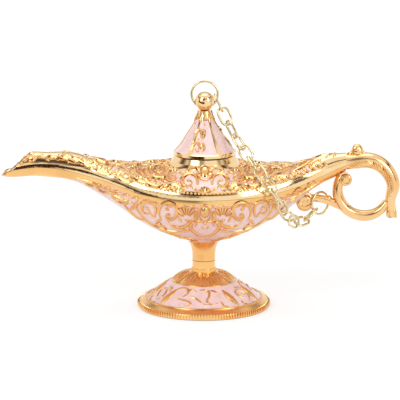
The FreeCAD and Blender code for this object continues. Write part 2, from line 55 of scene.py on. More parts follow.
# The line of the rim along the lamp: x, height of its middle, height of its band
RIM_LINE = [
    (-69.0, 46.03, 0.58), (-66.2, 47.80, 0.87), (-62.1, 48.92, 1.00), (-56.0, 49.60, 1.16),
    (-50.0, 49.39, 1.45), (-43.0, 48.50, 2.32), (-35.5, 47.13, 2.90), (-27.0, 45.02, 2.75),
    (-18.4, 42.91, 2.20), (-9.0, 42.13, 1.60), (0.0, 41.90, 1.45), (9.0, 41.99, 1.45),
    (18.0, 42.50, 2.03), (26.0, 43.70, 2.60), (33.0, 45.08, 2.47), (40.0, 47.20, 2.03),
    (45.0, 49.10, 1.74), (48.5, 50.30, 1.45),
]
# How deep the gilt border under the rim reaches, along the same line
BORDER_DEPTH = [
    (-69.0, 9.0), (-50.0, 9.0), (-45.0, 3.6), (-36.0, 2.6), (-20.0, 2.2), (-8.0, 1.9),
    (0.0, 1.7), (8.0, 1.9), (20.0, 2.2), (32.0, 2.6), (37.0, 4.4), (42.0, 9.0), (48.5, 9.0),
]
# The lid: its axis, the height where it rests on the collar, and the height of its tip
LID_AXIS = 0.3
LID_SEAT = 53.1
LID_TOP = 68.1
# Heights where the stem stands on the foot, where its gilding ends, and where the neck's gilt edge begins
STEM_FOOT = 16.2
STEM_TOP = 23.6
NECK_EDGE = 49.4
# The foot's enamel panel: its inner and outer radius
FOOT_PANEL = (10.9, 19.9)
# The handle's round opening: its middle, along the lamp and in height, and its radius
GRIP_MIDDLE = (55.0, 40.8)
GRIP_RADIUS = 7.4
# The slanted ribs inside it: how many, how far apart, how far each one slants, and the band's width there
RIB_COUNT = 24
RIB_STEP = 5.4
RIB_SLANT = 16
BAND_WIDTH = 5.4
# The middle line of the image, which the ornament of bowl and shoulder is mirrored about
BOWL_MIDDLE = 204.8
# Rays on to a surface start this far out, clear of every piece
CLEAR = 80.0
# How deep a cord's middle lies under the surface and how thick its ends are, as shares of its radius
CORD_SINK = 0.15
CORD_END = 0.35
# How far frames and shells stand off the surface
FRAME_LIFT = 0.12
# Faces that meet at less than this angle are shaded smooth
SMOOTH_BELOW = 40

# Painted shade (orange on the enamel beside the neck, dark brown along the seams), warmer gilding low down,
# and polish
PAINTED_ORANGE_SHADE = "#DC9A64"
PAINTED_SEAM_SHADE = "#5E3314"
WARM_GILDING = "#F4BC76"
POLISHED_ROUGH = 0.1
# How wide the soft clouds in the enamel and in the gilding are
ENAMEL_CLOUDS = 3.5
GILDING_CLOUDS = 8.0

# The studio: its white, and the dark things in it that only mirrors show
WHITE = "#FFFFFF"
ROOM_BAND = "#5A3418"
FLAG_CLOTH = "#2A1206"
FLOOR_CLOTH = "#3A1A08"
# Where the soft lamps point, in metres, and the width of the camera's sensor
LAMP_MIDDLE = (0, 0, 0.038)
SENSOR = 36.0


def along_line(line, x, column=1):
    """The value of a line's column at x, straight between its rows."""
    for low, high in zip(line, line[1:]):
        if low[0] <= x <= high[0]:
            return low[column] + (high[column] - low[column]) * (x - low[0]) / (high[0] - low[0])
    return line[0][column] if x < line[0][0] else line[-1][column]


# Colours and materials


def linear(code):
    """An sRGB hex colour as linear red, green, blue and a full alpha."""
    values = [int(code[i : i + 2], 16) / 255 for i in (1, 3, 5)]
    values = [v / 12.92 if v <= 0.04045 else ((v + 0.055) / 1.055) ** 2.4 for v in values]
    return (*values, 1.0)


def add_node(tree, kind, *inputs, out=0, **settings):
    """Add one shader node with its settings, and give back one of its outputs.

    Its inputs come in order, or by name in one dict. Each is another node's output, an sRGB hex colour
    or a number.
    """
    made = tree.nodes.new("ShaderNode" + kind)
    for name, value in settings.items():
        setattr(made, name, value)
    named = inputs[0] if inputs and isinstance(inputs[0], dict) else dict(enumerate(inputs))
    for name, value in named.items():
        if isinstance(value, bpy.types.NodeSocket):
            tree.links.new(value, made.inputs[name])
        else:
            made.inputs[name].default_value = linear(value) if isinstance(value, str) else value
    return made.outputs[out] if made.outputs else made


def new_material(name):
    """A material with its output and a Principled shader, and the object's own coordinates."""
    material = bpy.data.materials.new(name)
    material.use_nodes = True
    tree = material.node_tree
    tree.nodes.clear()
    shader = add_node(tree, "BsdfPrincipled").node
    add_node(tree, "OutputMaterial", shader.outputs[0])
    return material, tree, shader, add_node(tree, "TexCoord", out="Object")


def mottle(tree, place, grain, low=0.0, high=1.0):
    """Noise with grains of that many millimetres, between two values."""
    noise = add_node(tree, "TexNoise", {"Vector": place, "Scale": 1 / (grain * MM), "Detail": 3.0})
    return add_node(tree, "MapRange", noise, 0.3, 0.7, low, high)


def grainy_bump(tree, shader, place, grain, depth):
    """Fine unevenness of the surface: grains and depth in millimetres."""
    noise = add_node(tree, "TexNoise", {"Vector": place, "Scale": 1 / (grain * MM), "Detail": 4.0})
    bump = add_node(tree, "Bump", {"Height": noise, "Strength": 0.35, "Distance": depth * MM})
    tree.links.new(bump, shader.inputs["Normal"])


def layered(tree, tone, *coats):
    """A tone with coats laid over it; each coat is a mask and its own tone."""
    for mask, over in coats:
        tone = add_node(tree, "Mix", {0: mask, 6: tone, 7: over}, data_type="RGBA", out=2)
    return tone


def gilt(name, tones, rough, grain, depth):
    """Thin plating: metal, a little deeper in tone in patches, with slight unevenness."""
    material, tree, shader, place = new_material(name)
    shader.inputs["Metallic"].default_value = 1.0
    tone = layered(tree, tones[0], (mottle(tree, place, grain * 6), tones[1]))
    tree.links.new(tone, shader.inputs["Base Color"])
    tree.links.new(mottle(tree, place, grain, rough * 0.85, rough * 1.15), shader.inputs["Roughness"])
    grainy_bump(tree, shader, place, grain, depth)
    return material


def enamel_and_gold(name, tones, gold, seam, rough, orange_shade=None, warm_below=None, polish_above=None):
    """Pale pink enamel laid into a gilt casting: glassy paint where gold is 0, and metal where it is 1.

    gold, seam and the orange mask each come from the surface's own x, y and z in millimetres: where the
    casting is gilt, where dark brown shade is painted along the seams and edges, with no metal there, and
    where orange shade is painted on the enamel. The gilding is warmer below one height, and polished above
    another.
    """
    material, tree, shader, place = new_material(name)
    scaled = add_node(tree, "VectorMath", {0: place, "Scale": 1 / MM}, operation="SCALE")
    spot = add_node(tree, "SeparateXYZ", scaled).node.outputs
    gilded, left = gold(tree, spot), seam(tree, spot)
    pink = layered(tree, tones[0], (mottle(tree, place, ENAMEL_CLOUDS), tones[1]))
    plate = layered(tree, tones[2], (mottle(tree, place, GILDING_CLOUDS), tones[3]))
    # Painted shade: orange over the enamel beside the neck
    if orange_shade:
        pink = layered(tree, pink, (orange_shade(tree, spot), PAINTED_ORANGE_SHADE))
    # The gilding is warmer and more orange below a height
    if warm_below:
        plate = layered(tree, plate, (below(tree, spot["Z"], warm_below, 3.0), WARM_GILDING))
    # Painted shade: a dark brown line along the seams, over enamel and gold alike
    seen = layered(tree, pink, (gilded, plate), (left, PAINTED_SEAM_SHADE))
    tree.links.new(seen, shader.inputs["Base Color"])
    # The painted seam shade is not metal
    outside_seam_shade = add_node(tree, "Math", 1.0, left, operation="SUBTRACT")
    tree.links.new(both(tree, gilded, outside_seam_shade), shader.inputs["Metallic"])
    if polish_above:
        top = polish_above + 0.3
        rough = add_node(tree, "MapRange", spot["Z"], polish_above, top, rough, POLISHED_ROUGH)
    glaze = mottle(tree, place, 1.2, 0.22, 0.30)
    tree.links.new(add_node(tree, "Mix", {0: gilded, 2: glaze, 3: rough}), shader.inputs["Roughness"])
    shader.inputs["Coat Weight"].default_value = 0.25
    shader.inputs["Coat Roughness"].default_value = 0.08
    grainy_bump(tree, shader, place, 2.4, 0.02)
    return material


# Masks: 1 where something is and 0 where it isn't, by the surface's own place in millimetres


def above(tree, value, limit, soft):
    """1 above a limit and 0 below it, over a soft edge in the value's own unit."""
    return add_node(tree, "MapRange", value, limit, limit + soft, 0.0, 1.0)


def below(tree, value, limit, soft):
    """1 below a limit and 0 above it."""
    return add_node(tree, "MapRange", value, limit - soft, limit, 1.0, 0.0)


def both(tree, first, second):
    """1 where both masks are; the second may be a plain share."""
    return add_node(tree, "Math", first, second, operation="MULTIPLY")


def either(tree, *masks):
    """1 wherever one of the masks is."""
    joint = masks[0]
    for mask in masks[1:]:
        joint = add_node(tree, "Math", joint, mask, operation="MAXIMUM")
    return joint


def between(tree, value, low, high, soft):
    """1 between two limits and 0 outside them."""
    return both(tree, above(tree, value, low, soft), below(tree, value, high, soft))


def line_height(tree, x, line, column=1):
    """A line's value at the surface's own x, by a smooth curve through its rows."""
    start, end = line[0][0], line[-1][0]
    values = [row[column] for row in line]
    low, high = min(values), max(values)
    spots = [((row[0] - start) / (end - start), (row[column] - low) / (high - low)) for row in line]
    share = add_node(tree, "MapRange", x, start, end, 0.0, 1.0, clamp=False)
    curve = add_node(tree, "FloatCurve", {"Value": share})
    mapping = curve.node.mapping
    points = mapping.curves[0].points
    points[0].location, points[1].location = spots[0], spots[-1]
    for spot in spots[1:-1]:
        points.new(*spot)
    mapping.update()
    return add_node(tree, "Math", curve, high - low, low, operation="MULTIPLY_ADD")


def over_rim(tree, spot, share=0.0):
    """How far a place lies above the rim's middle, or above a line a share of the band's height over it."""
    rim = line_height(tree, spot["X"], RIM_LINE)
    height = add_node(tree, "Math", spot["Z"], rim, operation="SUBTRACT")
    if not share:
        return height
    band = line_height(tree, spot["X"], RIM_LINE, 2)
    return add_node(tree, "Math", band, -share, height, operation="MULTIPLY_ADD")


def bowl_gold(tree, spot):
    """The stem, the spout's lip, the end of the tail and a border under the rim."""
    depth = line_height(tree, spot["X"], BORDER_DEPTH)
    border = add_node(tree, "Math", over_rim(tree, spot), depth, operation="ADD")
    return either(tree, above(tree, border, -0.9, 0.3), below(tree, spot["Z"], STEM_TOP, 0.8))


def shoulder_gold(tree, spot):
    """The rim band, the neck's edge, the spout's hood and the end of the tail."""
    band = below(tree, over_rim(tree, spot, 0.5), 1.5, 0.15)
    ends = below(tree, spot["X"], -45.0, 7.0), above(tree, spot["X"], 38.0, 5.0)
    return either(tree, band, above(tree, spot["Z"], NECK_EDGE, 0.2), *ends)


def foot_gold(tree, spot):
    """The fluted cap and the outer edge; the panel between them is enamel."""
    flat = add_node(tree, "CombineXYZ", spot["X"], spot["Y"])
    radius = add_node(tree, "VectorMath", flat, operation="LENGTH", out="Value")
    inner, outer = FOOT_PANEL
    return either(tree, below(tree, radius, inner, 0.15), above(tree, radius, outer, 0.15))


def lid_gold(tree, spot):
    """The flange, the tip and six ribs."""
    side = add_node(tree, "Math", spot["X"], LID_AXIS, operation="SUBTRACT")
    turn = add_node(tree, "Math", spot["Y"], side, operation="ARCTAN2")
    sector = add_node(tree, "Math", turn, math.radians(30), operation="PINGPONG")
    rib = below(tree, sector, math.radians(5.2), 0.02)
    flange = below(tree, spot["Z"], LID_SEAT + 1.35, 0.1)
    return either(tree, rib, flange, above(tree, spot["Z"], LID_TOP - 3.2, 0.2))


def neck_painted_shade(tree, spot):
    """Where orange shade is painted on the enamel beside the neck, among the scrolls there."""
    side = add_node(tree, "Math", spot["X"], LID_AXIS, operation="SUBTRACT")
    beside = above(tree, add_node(tree, "Math", side, operation="ABSOLUTE"), 8.0, 4.0)
    high = above(tree, over_rim(tree, spot), 3.2, 1.4)
    return both(tree, beside, high)


def rim_seam(tree, spot):
    """The line where the lower and the upper half of the body meet, under the rim band."""
    return between(tree, over_rim(tree, spot, -0.5), -0.16, 0.1, 0.05)


def bowl_seams(tree, spot):
    """The line under the rim band, and the one where the stem stands on the foot."""
    return either(tree, rim_seam(tree, spot), below(tree, spot["Z"], STEM_FOOT, 0.05))


def foot_seam(tree, spot):
    """The lower edge of the knurled rim, where dark shade is painted."""
    return between(tree, spot["Z"], -0.2, 0.12, 0.05)


def lid_seam(tree, spot):
    """The line where the lid's flange rests on the collar."""
    return between(tree, spot["Z"], LID_SEAT - 0.2, LID_SEAT + 0.14, 0.05)


# Places on the lamp's surfaces: each spot is a point and the normal there


def surface(*names):
    """A search tree over the surfaces of some CAD nodes."""
    points, faces = [], []
    for name in names:
        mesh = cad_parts[name].data
        start = len(points)
        points += [v.co.copy() for v in mesh.vertices]
        faces += [[start + i for i in p.vertices] for p in mesh.polygons]
    return BVHTree.FromPolygons(points, faces)


def spot_along(tree, start, way):
    """The first spot of the surface on a ray from a place in millimetres, or None."""
    hit, normal, _, _ = tree.ray_cast(start * MM, way)
    return (hit, normal) if hit else None


def photo_spot(tree, px, py):
    """The spot that the photograph shows at a place of its image."""
    rise = math.radians(VIEW_RISE)
    z = ((IMAGE_FLOOR - py) * IMAGE_SCALE + math.sin(rise) * CLEAR) / math.cos(rise)
    start = Vector(((px - IMAGE_MIDDLE) * IMAGE_SCALE, -CLEAR, z))
    return spot_along(tree, start, Vector((0, math.cos(rise), -math.sin(rise))))


def front_spot(tree, x, z):
    """The spot straight in front at x and z."""
    return spot_along(tree, Vector((x, -CLEAR, z)), Vector((0, 1, 0)))


def down_spot(tree, radius, turn, centre_x=0.0):
    """The spot met from above at a radius, and at a turn in degrees from the front."""
    angle = math.radians(turn - 90)
    start = Vector((centre_x + radius * math.cos(angle), radius * math.sin(angle), CLEAR))
    return spot_along(tree, start, Vector((0, 0, -1)))


def lid_spot(tree, turn, height):
    """The spot on the lid's side at a turn in degrees from the front, and at a height."""
    angle = math.radians(turn - 90)
    out = Vector((math.cos(angle), math.sin(angle), 0))
    return spot_along(tree, Vector((LID_AXIS, 0, height)) + out * CLEAR, -out)


def rim_edge(x, side):
    """The height of the rim band's upper edge at x, or of its lower edge where side is -1."""
    return along_line(RIM_LINE, x) + side * along_line(RIM_LINE, x, 2) / 2


def smooth_run(points, parts=7):
    """Points on a smooth line through the given ones; each point is a tuple of numbers."""
    if len(points) < 3:
        return [tuple(a + (b - a) * i / parts for a, b in zip(*points)) for i in range(parts + 1)]
    run = []
    padded = [points[0], *points, points[-1]]
    for near in zip(padded, padded[1:], padded[2:], padded[3:]):
        for step in range(parts):
            t = step / parts
            weights = 2 * t**2 - t - t**3, 2 - 5 * t**2 + 3 * t**3, t + 4 * t**2 - 3 * t**3, t**3 - t**2
            run.append(tuple(0.5 * sum(w * v for w, v in zip(weights, values)) for values in zip(*near)))
    run.append(tuple(points[-1]))
    return run


# Making pieces


def deselect_all():
    """Leave nothing selected and nothing active."""
    for item in bpy.context.selected_objects:
        item.select_set(False)
    bpy.context.view_layer.objects.active = None


def only(*items):
    """Select these objects alone, and make the first one active."""
    deselect_all()
    for item in items:
        item.select_set(True)
    bpy.context.view_layer.objects.active = items[0]


def joined(name, items):
    """Join some meshes in one."""
    only(*items)
    bpy.ops.object.join()
    made = bpy.context.active_object
    made.name = name
    return made


def both_sides(item):
    """Add the mirror image across the lamp's middle plane, so that the back is as rich as the front."""
    only(item)
    bpy.ops.object.duplicate()
    twin = bpy.context.active_object
    twin.data.transform(Matrix.Scale(-1, 4, (0, 1, 0)))
    bpy.ops.object.mode_set(mode="EDIT")
    bpy.ops.mesh.select_all(action="SELECT")
    bpy.ops.mesh.flip_normals()
    bpy.ops.object.mode_set(mode="OBJECT")
    return joined(item.name, [item, twin])


def settle(item, name, material, body):
    """Finish a piece: place applied, shading, material, and the body that it rides on."""
    only(item)
    bpy.ops.object.transform_apply(location=True, rotation=True, scale=True)
    bpy.ops.object.shade_smooth_by_angle(angle=math.radians(SMOOTH_BELOW))
    item.name = name
    item.data.name = name
    item.data.materials.clear()
    item.data.materials.append(material)
    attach(item, body)


def dress(node, material):
    """Give a CAD node its material."""
    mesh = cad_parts[node].data
    mesh.materials.clear()
    mesh.materials.append(material)
    for polygon in mesh.polygons:
        polygon.material_index = 0


def cord_mesh(name, runs):
    """Round relief cords along runs of (point, radius in millimetres), as one mesh."""
    deselect_all()
    bpy.ops.curve.primitive_nurbs_path_add()
    curve = bpy.context.active_object
    curve.name = name
    data = curve.data
    data.splines.clear()
    data.dimensions = "3D"
    data.bevel_depth = MM
    data.bevel_resolution = 2
    data.use_fill_caps = True
    for run in runs:
        if len(run) < 2:
            continue
        spline = data.splines.new("POLY")
        spline.points.add(len(run) - 1)
        for point, (place, radius) in zip(spline.points, run):
            point.co = (*place, 1.0)
            point.radius = radius
    only(curve)
    bpy.ops.object.convert(target="MESH")
    return bpy.context.active_object


def laid_cord(spots, radius):
    """The run of a cord that lies on its spots, half sunk in and finer at its ends."""
    spots = [s for s in spots if s]
    count = max(len(spots) - 1, 1)
    run = []
    for index, (place, normal) in enumerate(spots):
        share = min(index / count * 1.15 + 0.02, 1.0)
        size = radius * (CORD_END + (1 - CORD_END) * math.sin(math.pi * share) ** 0.7)
        run.append((place - normal * (size * CORD_SINK) * MM, size))
    return run


def seed_mesh(point, segments=14, rings=8):
    """One leaf, a ball drawn out along X to two points, one unit long and wide; a bead where point is 0."""
    deselect_all()
    bpy.ops.mesh.primitive_uv_sphere_add(
        segments=segments, ring_count=rings, radius=0.5, rotation=(0, math.pi / 2, 0)
    )
    seed = bpy.context.active_object
    bpy.ops.object.transform_apply(location=True, rotation=True, scale=True)
    for vertex in seed.data.vertices:
        keep = max(1 - abs(2 * vertex.co.x) ** 1.6 * point * 0.55, 0.02)
        vertex.co.y *= keep
        vertex.co.z *= keep
    return seed


def leaf_at(spot, ahead, size):
    """One leaf's place, pointing from a spot to the next, in a list that is empty where a ray missed."""
    return [(spot[0], ahead[0] - spot[0], spot[1], size)] if spot and ahead else []


def scattered(name, model, places):
    """Copies of a model in one mesh; each place is a point, a direction, a normal and three sizes."""
    copies = []
    for place, along, normal, size in places:
        copy = model.copy()
        copy.data = model.data.copy()
        bpy.context.scene.collection.objects.link(copy)
        forward = (along - normal * along.dot(normal)).normalized()
        turn = Matrix((forward, normal.cross(forward), normal)).transposed().to_4x4()
        scale = Matrix.Diagonal((*[s * MM for s in size], 1.0))
        copy.matrix_world = Matrix.Translation(place) @ turn @ scale
        copies.append(copy)
    bpy.data.objects.remove(model)
    made = joined(name, copies)
    bpy.ops.object.transform_apply(location=True, rotation=True, scale=True)
    return made


# Ornament placed by the photograph


def mirrored(outlines):
    """Outlines given from the middle line of the image, on its right and on its left."""
    return [[(BOWL_MIDDLE + side * dx, py) for dx, py in line] for side in (1, -1) for line in outlines]


def paired(marks, turned=True):
    """Marks given from the middle line of the image, on its left, where leaves turn about, and right."""
    places = []
    for dx, py, turn, *size in marks:
        places.append((BOWL_MIDDLE - dx, py, 180 - turn if turned else turn, *size))
        places.append((BOWL_MIDDLE + dx, py, turn, *size))
    return places


def photo_cords(tree, outlines, radius):
    """Cords along outlines given by places (px, py) in the photograph's image."""
    runs = [laid_cord([photo_spot(tree, *p) for p in smooth_run(line)], radius) for line in outlines]
    return [run for run in runs if len(run) > 2]


def photo_seeds(tree, marks):
    """Leaves and beads at marks (px, py, direction in degrees, length, width, height) on the surface."""
    places = []
    for px, py, turn, *size in marks:
        angle = math.radians(turn)
        ahead = photo_spot(tree, px + 2 * math.cos(angle), py - 2 * math.sin(angle))
        places += leaf_at(photo_spot(tree, px, py), ahead, size)
    return places


def fan(tree, px, py, spread, reach, count, lean=0.0):
    """A shell of ribs that open upwards from a place of the image."""
    runs = []
    for rib in range(count):
        turn = math.radians(90 + lean + spread * (0.5 - rib / (count - 1)))
        ends = [(px + r * math.cos(turn), py - r * math.sin(turn)) for r in (0.28 * reach, reach)]
        spots = [s for s in (photo_spot(tree, *p) for p in smooth_run(ends)) if s]
        last = max(len(spots) - 1, 1)
        runs.append([(p + n * FRAME_LIFT * MM, 0.18 + 0.32 * i / last) for i, (p, n) in enumerate(spots)])
    return runs


def oval_frame(tree, px, py, half_width, half_height, radius):
    """A closed oval cord round a bead."""
    run = []
    for step in range(25):
        turn = 2 * math.pi * step / 24
        spot, normal = photo_spot(tree, px + half_width * math.cos(turn), py + half_height * math.sin(turn))
        run.append((spot + normal * FRAME_LIFT * MM, radius))
    return run


def scalloped_cord(tree, low=-42.0, high=35.0, steps=123, waves=24):
    """The scalloped cord under the rim of the bowl, from one x to another."""
    run = []
    for step in range(steps + 1):
        share = step / steps
        x = low + (high - low) * share
        dip = 0.7 * abs(math.sin(math.pi * waves * share))
        spot = front_spot(tree, x, rim_edge(x, -1) - 1.9 - dip)
        if spot:
            run.append((spot[0] + spot[1] * 0.1 * MM, 0.38))
    return run


def rim_row(tree, low, high, count, lift, size, leaning):
    """A row above the rim band: leaves that lean up and to the middle of the lamp, or level beads."""
    places = []
    for step in range(count):
        x = low + (high - low) * step / (count - 1)
        z = rim_edge(x, 1) + lift
        spot = front_spot(tree, x, z)
        if leaning:
            places += leaf_at(spot, front_spot(tree, x - math.copysign(0.8, x), z + 0.45), size)
        elif spot:
            places.append((spot[0], Vector((1, 0, 0)), spot[1], size))
    return places


def neck_rows(tree, petals):
    """A ring of petals round the neck, and rows of leaves along the ridge to the spout and to the tail."""
    marks = [(13.4, 360 * (count + 0.5) / petals, 0.0, 3.2) for count in range(petals)]
    for ridge, side in ((90, -1), (270, 1)):
        for radius, aside in RIDGE_LEAVES:
            marks.append((radius, ridge, side * math.degrees(aside / radius), 4.4))
    places = []
    for radius, turn, lean, length in marks:
        ahead = down_spot(tree, radius + 1, turn + lean * 1.3, LID_AXIS)
        places += leaf_at(down_spot(tree, radius, turn + lean, LID_AXIS), ahead, (length, 2.0, 1.0))
    return places


# The ornament of the bowl, from the middle line of the image outwards: (distance, height) in image pixels
BOWL_SCROLLS = [
    [(43, 219.5), (45.5, 212), (43, 205), (36, 202.3), (29.5, 205), (27.3, 211),
     (29.5, 217), (34.5, 219.5), (38.5, 217), (37, 213.5), (34, 214)],
    [(12.5, 219.5), (18, 225), (26, 227), (33, 224.5), (37, 220)],
    [(0.5, 236.5), (8, 233.5), (13, 229), (14, 224.5), (11, 222), (8, 223.5), (9.5, 226)],
    [(2.5, 221.5), (7.5, 220.5), (9.5, 217), (7.5, 214.8), (5.8, 216.5)],
    [(15, 229.5), (26, 231.5), (38, 229.8), (49, 226), (58, 220), (65, 212), (70, 205), (73, 201)],
    [(50, 217), (48.5, 209), (51.5, 203), (57, 201.5), (61.5, 204.5),
     (62, 210), (58, 213.5), (54.5, 211.5), (56, 208.5)],
    [(65, 212), (68, 207), (67, 203), (64, 202.5), (63.5, 205.5)],
    [(38, 229.8), (42, 225), (47, 223.5), (49.5, 226)],
    [(6, 241), (14, 238.5), (24, 236.5), (34, 233.5), (44, 230.5)],
    [(58, 220), (66, 218), (72, 213), (78, 207), (84, 201.5)],
    [(84, 201.5), (90, 198), (92, 194), (88, 192.5), (86, 195.5)],
    [(24, 236.5), (27, 240.5), (33, 240.5), (38, 237.5)],
]
BOWL_LEAVES = [
    (14, 239.6, 20, 4.2, 1.3, 0.8), (30, 233.6, 20, 4.0, 1.2, 0.8), (46, 221, 150, 3.2, 1.2, 0.8),
    (72, 208, 130, 3.6, 1.3, 0.8), (80, 200, 40, 3.4, 1.2, 0.8), (20, 229, 190, 2.8, 1.0, 0.7),
    (53, 214.5, 60, 2.6, 1.0, 0.7), (9, 214, 110, 2.6, 0.9, 0.7), (24.5, 219, 60, 2.8, 1.0, 0.7),
    (37, 209, 90, 1.6, 1.6, 0.8), (2.5, 227, 60, 2.2, 0.8, 0.6),
]
BOWL_STUDS = [(36, 215.5), (57, 208), (17.5, 220)]
# The ornament of the shoulder, given the same way
SHOULDER_SCROLLS = [
    [(7, 185), (8, 178), (13, 174.5), (19, 175.5), (22.5, 180),
     (20.5, 185.5), (15.5, 186.5), (12.5, 183), (15.5, 180.5)],
    [(21, 176), (26, 171), (33, 170.5), (38, 174), (37.5, 179), (32.5, 181), (28.5, 178.5), (31, 175.5)],
    [(6.5, 170.5), (9.5, 167.5), (15, 168.5), (17.5, 171.5), (14, 173)],
    [(38, 176), (45, 178.5), (53, 176.5), (60, 171.5), (63, 167.5)],
    [(40, 184), (46, 187), (53, 185.5), (58, 181), (56, 177.5), (52.5, 179.5)],
    [(45, 172), (50, 168), (56, 167.5), (58, 170.5), (55, 172.5)],
    [(24, 188), (31, 185), (38, 186), (43, 189)],
    [(36, 171), (41, 167), (47, 166.5), (50, 170), (46, 173), (42, 171.5)],
    [(58, 178), (64, 177.5), (69, 173.5), (71, 169), (67, 167.5), (65, 170.5)],
    [(62, 166), (67, 163), (73, 162.5), (76, 165.5)],
]
SHOULDER_LEAVES = [
    (10, 189, 35, 2.8, 1.1, 0.8), (27, 183.5, 100, 2.6, 1.1, 0.8), (35, 189.5, 170, 2.8, 1.0, 0.8),
    (47, 182, 30, 3.0, 1.1, 0.8), (42, 169, 60, 2.4, 0.9, 0.7), (63, 173.5, 30, 3.0, 1.1, 0.8),
    (30, 175.7, 0, 1.3, 1.3, 0.7), (16, 181, 0, 1.3, 1.3, 0.7), (40, 181.5, 20, 3.0, 1.3, 0.8),
    (50, 174.5, 150, 2.6, 1.2, 0.8), (24, 173, 40, 2.4, 1.2, 0.8), (57, 185, 40, 3.0, 1.2, 0.8),
    (70, 177, 60, 2.6, 1.2, 0.8), (72, 166, 30, 2.6, 1.2, 0.8),
]
# The vines on the spout and on the tail, at places of the image
SPOUT_VINES = [
    [(150, 184), (140, 181), (131, 176), (124, 170), (118, 165.5)],
    [(137, 179), (130, 182.5), (122, 180.5), (119, 175.5), (123, 173), (126, 175.5)],
    [(128, 171), (121, 166), (113, 166), (109, 170), (112, 173.5), (116, 172)],
    [(113, 167), (106, 161), (99, 158), (94, 160.5), (97, 164), (101, 163)],
    [(112, 175), (104, 173.5), (97, 170), (91, 165)],
    [(100, 170), (93, 169), (87, 164.5), (84, 159.5), (88, 157.5), (90, 160.5)],
    [(88, 165.5), (80, 162), (74, 157.5), (70, 153.5)],
    [(80, 163.5), (73, 162), (67, 158.5), (64, 155), (68, 153.5), (70, 156.5)],
    [(66, 160), (59, 158), (53, 156.5), (48, 155)],
    [(60, 160.5), (55, 157.5), (50, 156.5), (47, 159), (50, 161)],
]
SPOUT_LEAVES = [
    (144, 178.5, 150, 3.2, 1.2, 0.8), (118, 178, 160, 3.0, 1.2, 0.8), (104, 167, 150, 2.8, 1.1, 0.8),
    (92, 161.5, 150, 2.8, 1.1, 0.8), (78, 157.5, 165, 2.8, 1.1, 0.8), (62, 155.5, 170, 2.8, 1.1, 0.8),
    (40, 156.5, 205, 3.6, 1.5, 0.9), (35.5, 159.5, 235, 2.8, 1.1, 0.8),
    (110, 162.5, 160, 2.6, 1.0, 0.7), (132, 172.5, 150, 2.8, 1.1, 0.8),
]
TAIL_VINES = [
    [(262, 178), (272, 175.5), (282, 172), (290, 167.5), (296, 162)],
    [(274, 175), (280, 177.5), (287, 175.5), (290, 171)],
    [(284, 168), (280, 164.5), (283, 161), (288, 161.5)],
    [(292, 172), (300, 168), (308, 163), (315, 158)],
    [(298, 169), (296, 163.5), (300, 159.5), (305, 160), (305, 163)],
    [(308, 165), (316, 160.5), (324, 156.5), (332, 153.5)],
    [(314, 161), (313, 156.5), (317, 154), (321, 155.5)],
]
TAIL_LEAVES = [
    (278, 179.5, 15, 3.2, 1.1, 0.8), (296, 173.5, 25, 3.2, 1.1, 0.8), (303, 169.5, 60, 2.6, 1.0, 0.8),
    (311, 164.5, 60, 2.6, 1.0, 0.8), (319, 160.5, 60, 2.4, 1.0, 0.8), (326, 157, 60, 2.2, 0.9, 0.8),
    (292, 163, 30, 2.6, 1.0, 0.8), (309, 157.5, 30, 2.4, 0.9, 0.8), (334, 155.5, 40, 2.2, 0.9, 0.8),
]
# The ornament under the rim of the spout and of the tail
LIP_VINES = [
    [(78, 178.5), (86, 181), (94, 183.5), (102, 187.5), (110, 192)],
    [(84, 181), (88, 184.5), (94, 186), (97, 183.5)],
    [(96, 185), (100, 190), (107, 192.5), (111, 189.5), (107, 187.5)],
    [(110, 192), (118, 197), (127, 201), (136, 204)],
    [(114, 195), (118, 200.5), (125, 203.5), (129, 200.5), (125, 198)],
    [(288, 200), (297, 195), (306, 190), (315, 184.5), (324, 179)],
    [(296, 196), (295, 191), (299, 188.5), (303, 190.5)],
    [(309, 188.5), (308, 184), (312, 181.5), (316, 183.5)],
]
# The stone in the middle of the shoulder and those on the spout's hood, and studs in the shoulder's scrolls
SHOULDER_STONES = [
    (BOWL_MIDDLE, 173.2, 90, 5.6, 3.2, 2.0), (25.5, 160.5, 0, 1.6, 1.3, 1.0),
    (28.5, 158, 0, 1.4, 1.2, 0.9), (31, 161.5, 0, 1.3, 1.1, 0.8), (22.5, 163.5, 0, 1.2, 1.1, 0.8),
]
SHOULDER_STUDS = [(16, 181), (30.5, 175.5), (54, 180)]
# The edge of the spout's hood, and the rolled edge of its mouth
HOOD_EDGE = [(17, 167), (22, 161), (29, 155.5), (36, 153.8)]
MOUTH_EDGE = [(3.6, 174.8), (6, 173.2), (9, 171.4), (12, 169.6), (15.5, 167.2)]
# Leaves along the ridge, in millimetres: distance from the lid's axis, and from the ridge
RIDGE_LEAVES = [(16.0, 1.5), (20.0, 1.5), (24.0, 1.4), (28.0, 1.2), (16.5, 5.0), (21.0, 4.4), (25.5, 3.6)]
# The ornament of the foot's front third, at places of the image
FOOT_CURLS = [
    [(174, 292), (179, 288.5), (185, 287.5), (188.5, 290), (187, 294), (181.5, 296.5), (176.5, 297.5)],
    [(178, 298), (184, 299.5), (189, 301), (190.5, 303.5), (187, 305), (183.5, 304)],
    [(189, 297), (195, 297.5), (199, 300), (203, 303), (208, 303.5)],
    [(200, 290), (205, 289.5), (209, 292), (209, 296),
     (207, 300), (209, 303), (214, 303.5), (218, 301.5)],
    [(206, 291.5), (212, 290.5), (217, 292.5), (219.5, 296)],
    [(186, 291), (192, 289.5), (197, 291.5)],
    [(157, 296.5), (160, 291.5), (164, 288.5), (169, 288)],
    [(153, 301), (156.5, 304), (161, 304.5)],
    [(238, 290), (244, 292.5), (248.5, 296), (250, 300)],
    [(241, 300), (244, 303), (248, 302.5)],
    [(234, 287.5), (239, 287.5), (243, 290)],
    [(221, 301), (224, 305), (229, 305.5)],
]
FOOT_LEAVES = [(168.2, 296.6, 42, 8.4, 2.5, 1.3), (230.4, 297.2, 138, 8.4, 2.5, 1.3)]
